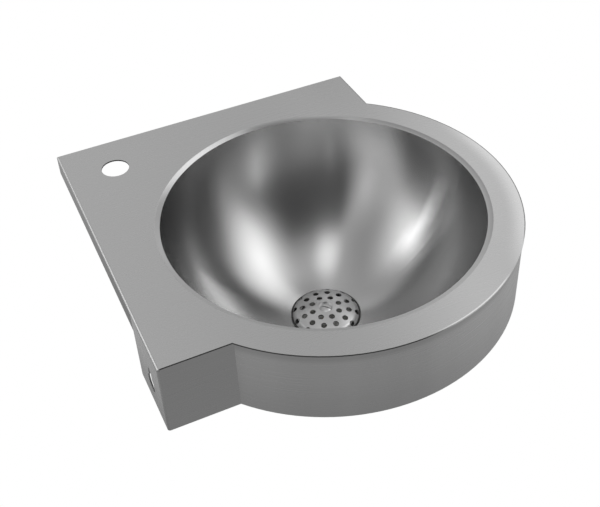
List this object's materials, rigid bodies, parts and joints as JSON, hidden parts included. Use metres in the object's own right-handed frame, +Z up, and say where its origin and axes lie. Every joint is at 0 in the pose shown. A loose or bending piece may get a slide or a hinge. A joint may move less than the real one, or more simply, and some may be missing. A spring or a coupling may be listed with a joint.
{
  "type": "corner hand wash basin",
  "caption": "Corner wall-hung hand wash basin in satin stainless steel: round bowl, tap hole in the corner, deep skirt and a perforated strainer waste.",
  "frame": {"origin": "centre of the lower end of the waste's tail, on the bowl's axis", "axes": "+Z up; the left wall lies at -X and the back wall at +Y, so the room's corner is at -X +Y and the user stands at +X -Y"},
  "size_m": [0.3935, 0.3935, 0.2162],
  "materials": {
    "sheet_steel": "brushed sheet, satin",
    "bowl_steel": "spun satin, brushed towards the drain",
    "strainer_steel": "pressed and lightly polished",
    "screw_steel": "turned, satin",
    "seal_rubber": "matt black",
    "waste_plastic": "moulded, matt white",
    "insert_brass": "turned"
  },
  "bodies": {
    "root": {"deck_plate": "sheet_steel", "bowl": "bowl_steel", "front_apron": "sheet_steel", "left_shoulder_panel": "sheet_steel", "right_shoulder_panel": "sheet_steel", "strainer_dome": "strainer_steel", "strainer_screw": "screw_steel", "strainer_seal": "seal_rubber", "bowl_seal": "seal_rubber", "waste_body": "waste_plastic", "threaded_insert": "insert_brass"}
  },
  "joints": []
}
